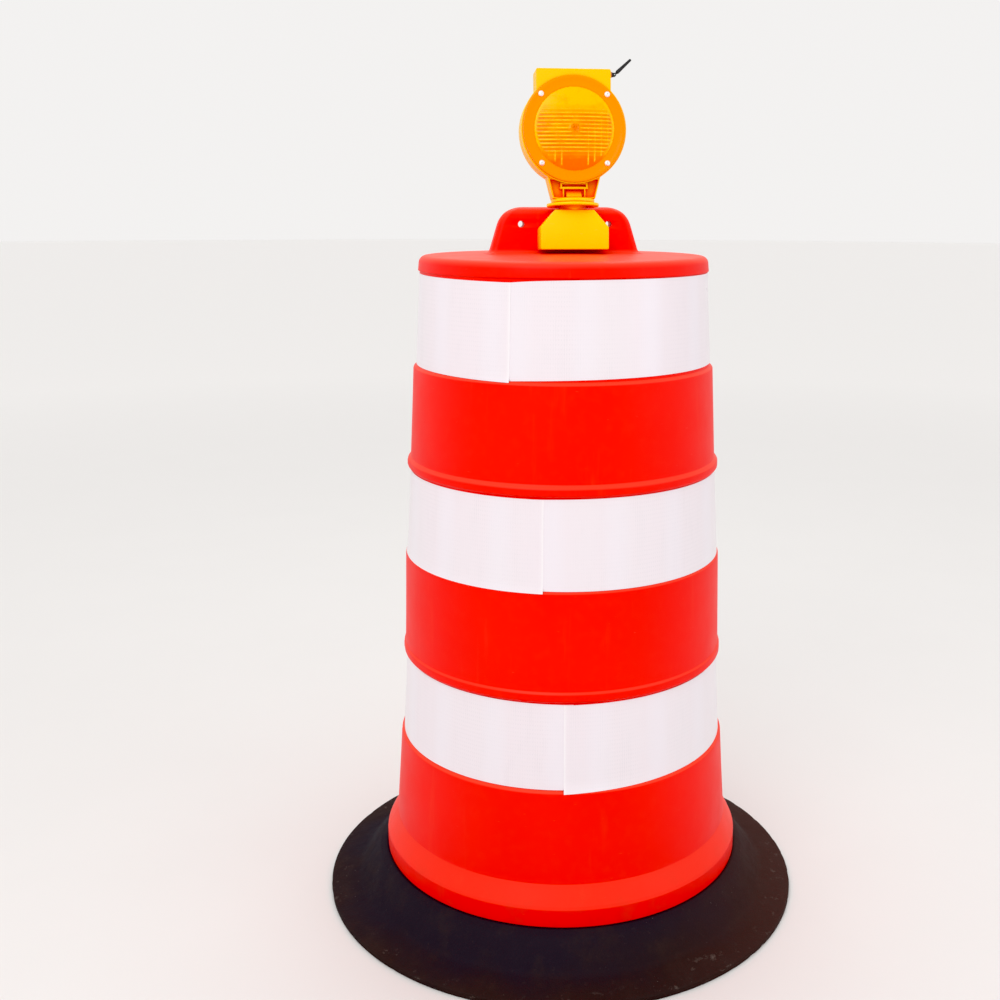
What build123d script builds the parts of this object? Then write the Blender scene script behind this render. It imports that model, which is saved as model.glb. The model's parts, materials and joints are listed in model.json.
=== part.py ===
from build123d import *
from math import cos, radians, sin, tan
import os

# Traffic barrel drum on a rubber ballast base, with a solar warning lamp bolted to its grip.
# Millimetres, +Z up, origin under the middle of the base. The lamp faces -Y and the grip lies
# along X. Every lamp piece is drawn in a frame that leans back with the front of the grip.

# ------------------------------------------------------------------ driving dimensions
# Rubber base
base_radius = 444.5
base_edge = 10.5
base_hole_radius = 288.0
base_shelf_radius = 346.0
base_shelf_height = 79.6
hub_radius = 329.0
hub_height = 127.0
rib_count = 12
rib_width = 16.0

# Drum: the wraps sit in three tapered recesses, between moulded orange bands
wall = 2.8
crown_height = 1187.0
cap_radius = 249.8
cap_edge_height = 1180.5
wrap_height = 152.4
wrap_tops = (1154.5, 813.7, 469.1)
wrap_radii = (247.4, 271.6, 286.7)
wrap_taper = 0.0625
wrap_thickness = 0.6
skirt_radius = 334.0
skirt_height = 80.0

# Grip moulded on the crown
grip_base_height = 1187.0
grip_top_height = 1261.0
grip_half_width = 128.5
grip_half_depth = 22.0
grip_corner = 41.0
grip_side_slope = 16.7
grip_hole_radius = 5.5
grip_hole_spacing = 150.0
grip_hole_height = 1233.0

# Lamp bracket, hung on one bolt through the grip
lean = 6.0
lamp_offset = 10.0
bolt_height = 1225.0
bolt_radius = 6.0
bolt_hole_radius = 6.75
case_depth = 46.0
case_half_width = 57.5
case_bottom = -36.0
case_top = 28.0
shell_wall = 2.5
flange_radius = 44.0
flange_bottom = 34.5
flange_top = 39.0

# Swivel
spigot_radius = 15.92
spigot_bore_radius = 16.0
collar_radius = 36.5
collar_bottom = 40.0
collar_top = 46.0

# Lamp head
lens_height = 157.0
rim_radius = 87.5
lens_radius = 85.0
lens_dome_radius = 66.5
lens_flange = 3.5
lens_bulge = 8.0
head_half_depth = 22.0
box_half_width = 62.0
box_top = 253.0
neck_half_width = 35.5
neck_shoulder_half_width = 45.0
neck_shoulder_height = 84.0
neck_half_depth = 18.0
lens_screw_spacing = 109.5
gasket_thickness = 0.8
gasket_radius = 84.0

# Aerial and push button
aerial_height = 246.0
aerial_depth = 10.0
aerial_angle = 42.0
aerial_length = 37.0
whip_neck_radius = 1.45
whip_stations = ((3.5, whip_neck_radius), (6.5, 3.1), (aerial_length, 2.0))
button_height = 243.0
button_offset = -50.0
button_radius = 5.0

# ------------------------------------------------------------------ frames
lean_slope = tan(radians(lean))
grip_front_at_bolt = grip_half_depth - (bolt_height - grip_base_height) * lean_slope
lamp_frame = Plane(
    origin=(
        lamp_offset,
        -grip_front_at_bolt - case_depth / 2 * cos(radians(lean)),
        bolt_height + case_depth / 2 * sin(radians(lean)),
    ),
    x_dir=(1, 0, 0),
    z_dir=(0, sin(radians(lean)), cos(radians(lean))),
)


def level(height):
    """Plane square to the swivel axis, at a height above the lamp bolt."""
    return lamp_frame.offset(height)


def facing(depth):
    """Upright lamp plane seen from the front, at a depth in front of the swivel axis."""
    origin = lamp_frame.from_local_coords((0, -depth, 0))
    return Plane(origin=origin, x_dir=(1, 0, 0), z_dir=-lamp_frame.y_dir)


def backing(depth):
    """Upright lamp plane seen from behind, at a depth behind the swivel axis."""
    origin = lamp_frame.from_local_coords((0, depth, 0))
    return Plane(origin=origin, x_dir=(-1, 0, 0), z_dir=lamp_frame.y_dir)


def sideways(offset):
    """Upright lamp plane seen from the +X side, at an offset from the swivel axis."""
    origin = lamp_frame.from_local_coords((offset, 0, 0))
    return Plane(origin=origin, x_dir=lamp_frame.y_dir, z_dir=(1, 0, 0))


# ------------------------------------------------------------------ sketch helpers
def rounded_face(plane, corners):
    """Closed outline through corners given as x, y and rounding radius."""
    with BuildSketch(plane) as face:
        with BuildLine():
            FilletPolyline(
                [(x, y) for x, y, _ in corners],
                radius=[rounding for _, _, rounding in corners],
                close=True,
            )
        make_face()
    return face.sketch


def ring_face(plane, outer, inner, height=0.0):
    """Flat ring on a plane, centred at a height."""
    with BuildSketch(plane) as face:
        with Locations((0, height)):
            Circle(outer)
            Circle(inner, mode=Mode.SUBTRACT)
    return face.sketch


def disc_faces(plane, radius, spots):
    """Equal discs on a plane."""
    with BuildSketch(plane) as face:
        with Locations(*spots):
            Circle(radius)
    return face.sketch


def box_face(plane, width, height, centre=(0.0, 0.0), rounding=0.0):
    """Rectangle on a plane, with rounded corners where a rounding is given."""
    with BuildSketch(plane) as face:
        with Locations(centre):
            if rounding:
                RectangleRounded(width, height, rounding)
            else:
                Rectangle(width, height)
    return face.sketch


def save(builder, name):
    """Label a finished piece and write it as its own STEP file."""
    builder.part.label = name
    export_step(builder.part, f"parts/{name}.step")


os.makedirs("parts", exist_ok=True)

# ------------------------------------------------------------------ rubber base
base_outline = [
    (base_radius, 0, 0),
    (base_radius, base_edge, 3),
    (390, 22, 14),
    (base_shelf_radius, base_shelf_height - 3, 12),
    (336, base_shelf_height, 3),
    (hub_radius, base_shelf_height, 1),
    (hub_radius, 106, 5),
    (312, hub_height, 6),
    (295, hub_height, 5),
    (base_hole_radius, 116, 5),
    (base_hole_radius, 0, 0),
]
groove_outline = [
    (374, -1, 0),
    (376, 12, 4),
    (336, 62, 6),
    (324, 62, 4),
    (314, 110, 3),
    (304, 110, 3),
    (304, -1, 0),
]

with BuildPart() as groove:
    revolve(rounded_face(Plane.XZ, groove_outline), axis=Axis.Z)
    with PolarLocations((304 + 376) / 2, rib_count):
        Box(100, rib_width, 300, mode=Mode.SUBTRACT)

with BuildPart() as rubber_base:
    revolve(rounded_face(Plane.XZ, base_outline), axis=Axis.Z)
    add(groove.part, mode=Mode.SUBTRACT)
save(rubber_base, "rubber_base")

# ------------------------------------------------------------------ drum with its grip
wrap_growth = wrap_height * wrap_taper


def drum_outline(inset):
    """Half section of the drum, drawn in from the outside by an inset."""
    corners = [
        (cap_radius, cap_edge_height, 20),
        (cap_radius, 1160, 4),
        (wrap_radii[0], wrap_tops[0], 1),
        (wrap_radii[0] + wrap_growth, wrap_tops[0] - wrap_height, 1),
        (262, 997.5, 2),
        (271, 835, 2),
        (277, 829, 4),
        (277.2, 818, 4),
        (wrap_radii[1], wrap_tops[1], 1),
        (wrap_radii[1] + wrap_growth, wrap_tops[1] - wrap_height, 1),
        (284.4, 657.5, 2),
        (289.7, 490, 2),
        (292.6, 486, 3),
        (292.8, 474, 4),
        (wrap_radii[2], wrap_tops[2], 1),
        (wrap_radii[2] + wrap_growth, wrap_tops[2] - wrap_height, 1),
        (301.4, 312, 3),
        (314.5, 152, 8),
        (skirt_radius - 0.5, 113, 4),
    ]
    side = [(radius - inset, height, rounding) for radius, height, rounding in corners]
    side[0] = (cap_radius - inset, cap_edge_height - inset, 20 - inset)
    foot = skirt_height - (1 if inset else 0)
    return [
        (0, crown_height - inset, 0),
        *side,
        (skirt_radius - inset, foot, 0),
        (0, foot, 0),
    ]


def grip_form(inset):
    """Tapered grip with big top corners and soft edges, shrunk by an inset."""
    rise = grip_top_height - grip_base_height
    half_width = grip_half_width - inset
    lower = grip_base_height - 12
    top = grip_top_height - inset
    side_run = (top - lower) * tan(radians(grip_side_slope))
    foot_run = 12 * tan(radians(grip_side_slope))
    with BuildPart() as form:
        extrude(
            rounded_face(
                Plane.YZ,
                [
                    (-grip_half_depth + inset - 12 * lean_slope, lower, 0),
                    (grip_half_depth - inset + 12 * lean_slope, lower, 0),
                    (grip_half_depth - inset - rise * lean_slope, top + inset, 0),
                    (-grip_half_depth + inset + rise * lean_slope, top + inset, 0),
                ],
            ),
            amount=grip_half_width + 20,
            both=True,
        )
        extrude(
            rounded_face(
                Plane.XZ,
                [
                    (-half_width - foot_run, lower, 0),
                    (half_width + foot_run, lower, 0),
                    (half_width + foot_run - side_run, top, grip_corner - inset),
                    (-half_width - foot_run + side_run, top, grip_corner - inset),
                ],
            ),
            amount=60,
            both=True,
            mode=Mode.INTERSECT,
        )
        front_and_back = form.faces().sort_by(Axis.Y)
        rims = front_and_back[0].edges() + front_and_back[-1].edges()
        fillet(rims.filter_by(lambda rim: rim.center().Z > lower + 1), 12 - inset)
    return form.part


grip_thickness_at_holes = 2 * (grip_half_depth - (grip_hole_height - grip_base_height) * lean_slope)
grip_hole_spots = [(side * grip_hole_spacing / 2, grip_hole_height) for side in (-1, 1)]
spot_face_depth = case_depth / 2 + 32.5

with BuildPart() as drum_body:
    revolve(rounded_face(Plane.XZ, drum_outline(0)), axis=Axis.Z)
    add(grip_form(0))
    revolve(rounded_face(Plane.XZ, drum_outline(wall)), axis=Axis.Z, mode=Mode.SUBTRACT)
    add(grip_form(wall), mode=Mode.SUBTRACT)
    # solid sleeves that join the grip's two walls round each hole
    extrude(
        disc_faces(Plane.XZ, grip_hole_radius + 5, grip_hole_spots),
        amount=grip_thickness_at_holes / 2 - 2.5,
        both=True,
    )
    extrude(disc_faces(backing(case_depth / 2 + 2), 24, [(0, 0)]), amount=31)
    extrude(
        disc_faces(Plane.XZ, grip_hole_radius, grip_hole_spots),
        amount=60,
        both=True,
        mode=Mode.SUBTRACT,
    )
    extrude(
        disc_faces(backing(0), bolt_hole_radius, [(0, 0)]),
        amount=80,
        mode=Mode.SUBTRACT,
    )
    extrude(disc_faces(backing(spot_face_depth), 18, [(0, 0)]), amount=20, mode=Mode.SUBTRACT)
save(drum_body, "drum_body")

for name, top, radius in zip(("upper", "middle", "lower"), wrap_tops, wrap_radii):
    gap = 0.6
    low_radius = radius + wrap_growth - gap * wrap_taper
    high_radius = radius + gap * wrap_taper
    with BuildPart() as wrap:
        revolve(
            rounded_face(
                Plane.XZ,
                [
                    (high_radius, top - gap, 0),
                    (high_radius + wrap_thickness, top - gap, 0),
                    (low_radius + wrap_thickness, top - wrap_height + gap, 0),
                    (low_radius, top - wrap_height + gap, 0),
                ],
            ),
            axis=Axis.Z,
        )
    save(wrap, f"reflective_sheet_{name}")

# ------------------------------------------------------------------ lamp bracket
chamfer_side = case_top - 28.5
chamfer_top_half_width = 32.5
cover_thickness = 3.0
front_shell_back = case_depth / 2 - cover_thickness
cover_screw_spots = [(x, y) for x in (-48, 48) for y in (-28, -8)]


def case_outline(inset):
    """Front of the bracket box: a rectangle with its upper corners cut off."""
    half_width = case_half_width - inset
    return [
        (-half_width, case_bottom + inset, 2),
        (half_width, case_bottom + inset, 2),
        (half_width, chamfer_side - inset / 2, 2),
        (chamfer_top_half_width - inset / 2, case_top - inset, 2),
        (-chamfer_top_half_width + inset / 2, case_top - inset, 2),
        (-half_width, chamfer_side - inset / 2, 2),
    ]


with BuildPart() as bracket_front_shell:
    extrude(
        rounded_face(facing(-front_shell_back), case_outline(0)),
        amount=front_shell_back + case_depth / 2,
    )
    extrude(
        rounded_face(facing(-front_shell_back), case_outline(shell_wall)),
        amount=front_shell_back + case_depth / 2 - shell_wall,
        mode=Mode.SUBTRACT,
    )
    # bosses for the cover screws and the ring of ribs that holds the captive nut
    extrude(
        disc_faces(facing(-front_shell_back), 4, cover_screw_spots),
        amount=front_shell_back + case_depth / 2 - 1,
    )
    extrude(ring_face(facing(-front_shell_back), 13, 11), amount=8)
    extrude(box_face(facing(-front_shell_back), 2 * case_half_width - 4, 2.4), amount=8)
    extrude(
        disc_faces(facing(-front_shell_back), 12, [(0, 0)]),
        amount=8,
        mode=Mode.SUBTRACT,
    )
    extrude(
        disc_faces(facing(-front_shell_back), 1.5, cover_screw_spots),
        amount=12,
        mode=Mode.SUBTRACT,
    )
    # round boss and flange that carry the swivel, flat where they meet the grip
    extrude(disc_faces(level(case_top), 22.5, [(0, 0)]), amount=flange_bottom - case_top)
    with BuildSketch(level(flange_bottom)):
        Circle(flange_radius)
        with Locations((0, case_depth / 2 + 49.2)):
            Rectangle(200, 100, mode=Mode.SUBTRACT)
    extrude(amount=flange_top - flange_bottom)
    extrude(
        disc_faces(level(flange_top + 1), spigot_bore_radius, [(0, 0)]),
        amount=-(flange_top + 1 - 20),
        mode=Mode.SUBTRACT,
    )
save(bracket_front_shell, "bracket_front_shell")

with BuildPart() as bracket_rear_cover:
    extrude(
        rounded_face(backing(front_shell_back), case_outline(0)),
        amount=cover_thickness,
    )
    extrude(
        disc_faces(backing(0), bolt_hole_radius, [(0, 0)]),
        amount=60,
        mode=Mode.SUBTRACT,
    )
    extrude(
        disc_faces(backing(0), 1.7, [(-x, y) for x, y in cover_screw_spots]),
        amount=60,
        mode=Mode.SUBTRACT,
    )
    extrude(
        disc_faces(backing(case_depth / 2 - 1.9), 3.2, [(-x, y) for x, y in cover_screw_spots]),
        amount=10,
        mode=Mode.SUBTRACT,
    )
save(bracket_rear_cover, "bracket_rear_cover")

with BuildPart() as bracket_cover_screws:
    extrude(
        disc_faces(backing(case_depth / 2 - 1.8), 2.9, [(-x, y) for x, y in cover_screw_spots]),
        amount=1.6,
    )
    extrude(
        disc_faces(backing(case_depth / 2 - 1.8), 1.4, [(-x, y) for x, y in cover_screw_spots]),
        amount=-11,
    )
save(bracket_cover_screws, "bracket_cover_screws")

nut_front = front_shell_back - 0.2
nut_thickness = 7.5
with BuildPart() as captive_nut:
    with BuildSketch(backing(nut_front)):
        RegularPolygon(10.4, 6)
        Circle(bolt_radius + 0.05, mode=Mode.SUBTRACT)
    extrude(amount=-nut_thickness)
save(captive_nut, "captive_nut")

washer_seat = spot_face_depth
washer_thickness = 2.5
with BuildPart() as cup_washer:
    extrude(ring_face(backing(washer_seat), 17, bolt_radius + 0.4), amount=washer_thickness)
    extrude(ring_face(backing(washer_seat), 17, 14.8), amount=9)
save(cup_washer, "cup_washer")

with BuildPart() as mount_bolt:
    with BuildSketch(backing(washer_seat + washer_thickness)):
        RegularPolygon(10.4, 6)
    extrude(amount=7.5)
    chamfer(mount_bolt.edges().filter_by(GeomType.LINE).group_by(Axis.Y)[-1], 0.8)
    extrude(
        disc_faces(backing(washer_seat + washer_thickness), bolt_radius, [(0, 0)]),
        amount=-(washer_seat + washer_thickness - 8),
    )
save(mount_bolt, "mount_bolt")

# ------------------------------------------------------------------ swivel
with BuildPart() as swivel_washer:
    extrude(ring_face(level(flange_top), 30, spigot_bore_radius + 1), amount=0.7)
save(swivel_washer, "swivel_washer")

retainer_top = case_top - shell_wall - 0.3
with BuildPart() as swivel_collar:
    collar_thickness = collar_top - collar_bottom
    extrude(disc_faces(level(collar_bottom), collar_radius, [(0, 0)]), amount=collar_thickness)
    fillet(swivel_collar.edges().filter_by(GeomType.CIRCLE), 1)
    extrude(
        disc_faces(level(collar_bottom + 1), spigot_radius, [(0, 0)]),
        amount=-(collar_bottom + 1 - retainer_top),
    )
    extrude(
        disc_faces(level(retainer_top), 2.5, [(0, 0)]),
        amount=15,
        mode=Mode.SUBTRACT,
    )
save(swivel_collar, "swivel_collar")

with BuildPart() as swivel_retainer:
    extrude(ring_face(level(retainer_top), 20, 3), amount=-2.5)
save(swivel_retainer, "swivel_retainer")

with BuildPart() as swivel_screw:
    extrude(disc_faces(level(retainer_top - 2.5), 5, [(0, 0)]), amount=-3)
    fillet(swivel_screw.edges().group_by(Axis.Z)[0], 1.2)
    extrude(disc_faces(level(retainer_top - 2.5), 2.4, [(0, 0)]), amount=16)
save(swivel_screw, "swivel_screw")

# ------------------------------------------------------------------ lamp head cases
lens_spots = [
    (x * lens_screw_spacing / 2, lens_height + y * lens_screw_spacing / 2)
    for x in (-1, 1)
    for y in (-1, 1)
]
window_width = 114.0
window_depth = 40.0
window_thickness = 1.5
panel_width = 110.0
panel_depth = 36.0
panel_thickness = 2.0


def head_face(plane, inset):
    """Front of the head: round lamp with a square box above it."""
    with BuildSketch(plane) as face:
        with Locations((0, lens_height)):
            Circle(rim_radius - inset)
        with Locations((0, (lens_height + box_top) / 2)):
            RectangleRounded(2 * (box_half_width - inset), box_top - lens_height - 2 * inset, 3)
    return face.sketch


def neck_corners(inset, foot, top):
    """Flaring neck between two heights."""
    flare = (neck_shoulder_half_width - neck_half_width) / (neck_shoulder_height - collar_top)
    low = neck_half_width - inset + flare * (foot - collar_top)
    high = neck_half_width - inset + flare * (top - collar_top)
    return [(-low, foot, 0), (low, foot, 0), (high, top, 0), (-high, top, 0)]


def head_shell(outward):
    """One half of the head case, made on the planes that look outward from the split."""
    recess_depth = neck_half_depth - 4
    with BuildPart() as shell:
        extrude(head_face(outward(0), 0), amount=head_half_depth)
        extrude(
            head_face(outward(0), shell_wall),
            amount=head_half_depth - shell_wall,
            mode=Mode.SUBTRACT,
        )
        extrude(
            rounded_face(outward(0), neck_corners(0, collar_top, neck_shoulder_height)),
            amount=neck_half_depth,
        )
        extrude(
            disc_faces(outward(0), rim_radius - shell_wall, [(0, lens_height)]),
            amount=neck_half_depth,
            mode=Mode.SUBTRACT,
        )
        extrude(
            rounded_face(outward(4), neck_corners(2.4, collar_top + 2, lens_height - rim_radius + 1)),
            amount=recess_depth + 1,
            mode=Mode.SUBTRACT,
        )
        # two bars across the recess, on uprights, with the tongue below them
        extrude(box_face(outward(4), 46, 3, (0, 69.5)), amount=recess_depth)
        extrude(box_face(outward(4), 50, 3, (0, 62.5)), amount=recess_depth)
        extrude(box_face(outward(4), 2, 22, (-21.5, 57)), amount=recess_depth - 2)
        extrude(box_face(outward(4), 2, 22, (21.5, 57)), amount=recess_depth - 2)
        extrude(box_face(outward(4), 28, 14, (0, 54)), amount=recess_depth - 3)
        # screw bosses, lens window and the seat of the solar panel
        extrude(disc_faces(outward(1.2), 5, lens_spots), amount=head_half_depth - 2)
        extrude(
            disc_faces(outward(6), 1.6, lens_spots),
            amount=40,
            mode=Mode.SUBTRACT,
        )
        extrude(
            disc_faces(outward(0), lens_dome_radius + 1, [(0, lens_height)]),
            amount=60,
            mode=Mode.SUBTRACT,
        )
        extrude(
            box_face(level(box_top - 10), panel_width + 0.4, panel_depth + 0.4),
            amount=20,
            mode=Mode.SUBTRACT,
        )
        extrude(
            box_face(level(box_top - window_thickness), window_width + 0.4, window_depth + 0.4),
            amount=20,
            mode=Mode.SUBTRACT,
        )
    return shell


with BuildPart() as head_front_shell:
    add(head_shell(facing).part)
    aerial_plane = sideways(box_half_width - 10)
    extrude(
        disc_faces(aerial_plane, 3.05, [(-aerial_depth, aerial_height)]),
        amount=20,
        mode=Mode.SUBTRACT,
    )
save(head_front_shell, "head_front_shell")

with BuildPart() as head_rear_shell:
    add(head_shell(backing).part)
    extrude(
        disc_faces(backing(10), button_radius + 0.3, [(-button_offset, button_height)]),
        amount=20,
        mode=Mode.SUBTRACT,
    )
save(head_rear_shell, "head_rear_shell")

# ------------------------------------------------------------------ lenses, gaskets and screws
lens_back = head_half_depth + gasket_thickness
lens_front = lens_back + lens_flange


def lens_section(plane_radius):
    """Half section of the lens: flat ring and a shallow hollow dome."""
    return [
        (0, lens_front + lens_bulge, 0),
        (plane_radius * 0.62, lens_front + lens_bulge * 0.72, 60),
        (plane_radius, lens_front, 2),
        (lens_radius, lens_front, 1.2),
        (lens_radius, lens_back, 0),
        (plane_radius - 1, lens_back, 1),
        (plane_radius * 0.6, lens_back + lens_bulge * 0.72, 60),
        (0, lens_back + lens_bulge, 0),
    ]


def lens_part(outward):
    """Amber lens turned about its own centre line and drilled for its screws."""
    centre = outward(0).from_local_coords((0, lens_height, 0))
    turning_plane = Plane(
        origin=centre,
        x_dir=(1, 0, 0),
        z_dir=Vector(1, 0, 0).cross(outward(0).z_dir),
    )
    with BuildPart() as lens:
        revolve(
            rounded_face(turning_plane, lens_section(lens_dome_radius)),
            axis=Axis(centre, outward(0).z_dir),
        )
        extrude(disc_faces(outward(0), 1.8, lens_spots), amount=60, mode=Mode.SUBTRACT)
    return lens


for name, outward in (("front", facing), ("rear", backing)):
    lens = lens_part(outward)
    save(lens, f"{name}_lens")

    with BuildPart() as gasket:
        extrude(
            ring_face(
                outward(head_half_depth),
                gasket_radius,
                lens_dome_radius + 1.3,
                lens_height,
            ),
            amount=gasket_thickness,
        )
        extrude(disc_faces(outward(0), 1.8, lens_spots), amount=60, mode=Mode.SUBTRACT)
    save(gasket, f"{name}_lens_gasket")

    with BuildPart() as screws:
        extrude(disc_faces(outward(lens_front), 4, lens_spots), amount=2.4)
        fillet(screws.faces().filter_by(GeomType.PLANE).edges().filter_by(GeomType.CIRCLE), 0.9)
        extrude(disc_faces(outward(lens_front + 1), 1.5, lens_spots), amount=-(lens_front + 1 - 10))
    save(screws, f"{name}_lens_screws")

# ------------------------------------------------------------------ light and power inside the head
bulkhead_thickness = 2.0
board_thickness = 1.6
with BuildPart() as bulkhead:
    with BuildSketch(facing(bulkhead_thickness / 2)):
        with Locations((0, lens_height)):
            Circle(rim_radius - shell_wall - 0.3)
        with Locations((0, lens_height + 71 + 20)):
            Rectangle(200, 40, mode=Mode.SUBTRACT)
        with Locations(*lens_spots):
            Circle(6, mode=Mode.SUBTRACT)
    extrude(amount=-bulkhead_thickness)
save(bulkhead, "bulkhead")

for name, outward in (("front", facing), ("rear", backing)):
    board_seat = bulkhead_thickness / 2
    with BuildPart() as led_board:
        extrude(disc_faces(outward(board_seat), 16, [(0, lens_height)]), amount=board_thickness)
    save(led_board, f"led_board_{name}")

    with BuildPart() as led:
        extrude(disc_faces(outward(board_seat + board_thickness), 5, [(0, lens_height)]), amount=7)
        fillet(led.faces().sort_by(Axis.Y)[0 if outward is facing else -1].edges(), 4.6)
    save(led, f"led_{name}")

cell_radius = 7.2
cell_height = 106.0
cell_depth = 10.6
with BuildPart() as battery_cells:
    for row in (0, 1):
        spot = (-cell_depth, cell_height + row * 15.2)
        extrude(disc_faces(sideways(-25.5), cell_radius, [spot]), amount=50)
        extrude(disc_faces(sideways(24), 2.6, [spot]), amount=2.2)
save(battery_cells, "battery_cells")

with BuildPart() as battery_holder:
    extrude(box_face(facing(bulkhead_thickness / 2), 58, 34, (0, cell_height + 7.6), 3), amount=2)
    for side in (-1, 1):
        extrude(
            box_face(facing(bulkhead_thickness / 2), 2, 34, (side * 28, cell_height + 7.6)),
            amount=14,
        )
save(battery_holder, "battery_holder")

board_level = 233.0
with BuildPart() as controller_board:
    extrude(box_face(level(board_level), 96, 30), amount=board_thickness)
    for x, width, height in ((-20, 14, 3), (8, 10, 4), (28, 8, 6)):
        extrude(box_face(level(board_level + board_thickness), width, 12, (x, 0)), amount=height)
save(controller_board, "controller_board")

panel_top = box_top - window_thickness
with BuildPart() as solar_panel:
    extrude(box_face(level(panel_top), panel_width, panel_depth), amount=-panel_thickness)
save(solar_panel, "solar_panel")

with BuildPart() as solar_window:
    extrude(box_face(level(panel_top), window_width, window_depth), amount=window_thickness)
save(solar_window, "solar_window")

# ------------------------------------------------------------------ aerial
aerial_spot = (-aerial_depth, aerial_height)
pivot_offset = box_half_width + 7.8
knuckle_start = box_half_width + 3.2

with BuildPart() as antenna_connector:
    extrude(disc_faces(sideways(box_half_width - 8), 2.95, [aerial_spot]), amount=9)
    with BuildSketch(sideways(box_half_width)):
        with Locations(aerial_spot):
            RegularPolygon(5, 6)
    extrude(amount=3)
save(antenna_connector, "antenna_connector")

with BuildPart() as antenna_knuckle:
    extrude(disc_faces(sideways(knuckle_start), 4, [aerial_spot]), amount=1.5)
    for side in (-1, 1):
        ear_face = facing(aerial_depth + side * 2.55)
        extrude(
            box_face(
                ear_face,
                pivot_offset - knuckle_start - 1,
                5.6,
                ((pivot_offset + knuckle_start + 1) / 2, aerial_height),
            ),
            amount=0.85,
            both=True,
        )
        extrude(disc_faces(ear_face, 2.8, [(pivot_offset, aerial_height)]), amount=0.85, both=True)
        extrude(
            disc_faces(ear_face, 0.95, [(pivot_offset, aerial_height)]),
            amount=5,
            both=True,
            mode=Mode.SUBTRACT,
        )
save(antenna_knuckle, "antenna_knuckle")

with BuildPart() as antenna_pin:
    extrude(
        disc_faces(facing(aerial_depth), 0.94, [(pivot_offset, aerial_height)]),
        amount=3.4,
        both=True,
    )
save(antenna_pin, "antenna_pin")

pivot_point = lamp_frame.from_local_coords((pivot_offset, -aerial_depth, aerial_height))
rise_angle = radians(aerial_angle)
whip_dir = lamp_frame.x_dir * cos(rise_angle) + lamp_frame.z_dir * sin(rise_angle)
whip_plane = Plane(origin=pivot_point, x_dir=lamp_frame.y_dir, z_dir=whip_dir)
with BuildPart() as antenna_whip:
    extrude(
        disc_faces(facing(aerial_depth), 2.7, [(pivot_offset, aerial_height)]),
        amount=1.5,
        both=True,
    )
    with BuildSketch(whip_plane.offset(1)):
        Circle(whip_neck_radius)
    extrude(amount=2.5)
    for (start, root_radius), (end, end_radius) in zip(whip_stations, whip_stations[1:]):
        with BuildSketch(whip_plane.offset(start)):
            Circle(root_radius)
        with BuildSketch(whip_plane.offset(end)):
            Circle(end_radius)
        loft()
    fillet(antenna_whip.edges().sort_by(Axis(pivot_point, whip_dir))[-1], 1)
    extrude(
        disc_faces(facing(aerial_depth), 1.0, [(pivot_offset, aerial_height)]),
        amount=5,
        both=True,
        mode=Mode.SUBTRACT,
    )
save(antenna_whip, "antenna_whip")

# ------------------------------------------------------------------ push button
button_spot = (-button_offset, button_height)
bezel_thickness = 1.8
with BuildPart() as button_bezel:
    with BuildSketch(backing(head_half_depth)):
        with Locations(button_spot):
            Circle(7.5)
            Circle(button_radius + 0.3, mode=Mode.SUBTRACT)
    extrude(amount=bezel_thickness)
    chamfer(button_bezel.edges().group_by(Axis.Y)[-1], 0.4)
save(button_bezel, "button_bezel")

button_back = head_half_depth - 4.0
with BuildPart() as power_button:
    extrude(disc_faces(backing(button_back), button_radius, [button_spot]), amount=8.2)
    fillet(power_button.faces().sort_by(Axis.Y)[-1].edges(), 1)
save(power_button, "power_button")

with BuildPart() as switch_body:
    extrude(box_face(backing(button_back - 9), 10, 10, button_spot), amount=7)
save(switch_body, "switch_body")
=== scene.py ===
import json
from collections import namedtuple
from math import asin, ceil, cos, exp, pi, radians, sin, sqrt, tan

import bmesh
import bpy
from mathutils import Matrix, Vector, noise


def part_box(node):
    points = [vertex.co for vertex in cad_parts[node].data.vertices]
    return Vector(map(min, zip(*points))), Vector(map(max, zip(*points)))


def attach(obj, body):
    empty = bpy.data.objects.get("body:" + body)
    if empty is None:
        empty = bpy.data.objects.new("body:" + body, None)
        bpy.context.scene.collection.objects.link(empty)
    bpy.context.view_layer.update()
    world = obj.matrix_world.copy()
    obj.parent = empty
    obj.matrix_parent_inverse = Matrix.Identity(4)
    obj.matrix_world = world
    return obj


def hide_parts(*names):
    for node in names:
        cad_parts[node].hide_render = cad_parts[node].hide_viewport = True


# A traffic barrel drum with a warning lamp. Sizes are in millimetres until a mesh is made.
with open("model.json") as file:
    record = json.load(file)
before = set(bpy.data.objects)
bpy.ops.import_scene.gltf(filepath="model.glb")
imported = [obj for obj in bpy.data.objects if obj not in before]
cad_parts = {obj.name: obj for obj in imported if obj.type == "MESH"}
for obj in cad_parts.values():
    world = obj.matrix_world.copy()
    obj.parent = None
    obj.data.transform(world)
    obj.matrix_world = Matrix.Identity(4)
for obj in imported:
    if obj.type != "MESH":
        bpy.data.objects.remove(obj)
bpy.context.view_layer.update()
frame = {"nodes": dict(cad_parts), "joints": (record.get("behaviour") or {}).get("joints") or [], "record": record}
MM = 0.001


# ---------------------------------------- camera and light
CAMERA_AZIMUTH = -8.0
CAMERA_DISTANCE = 2123.0
CAMERA_HEIGHT = 1271.0
CAMERA_PITCH = 14.84
CAMERA_TURN = 0.52
CAMERA_ROLL = 0.17
FOCAL_LENGTH = 43.2
SENSOR_WIDTH = 36.0
SHIFT_X = -0.0516
SHIFT_Y = 0.019
CLIP_END = 50


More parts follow.
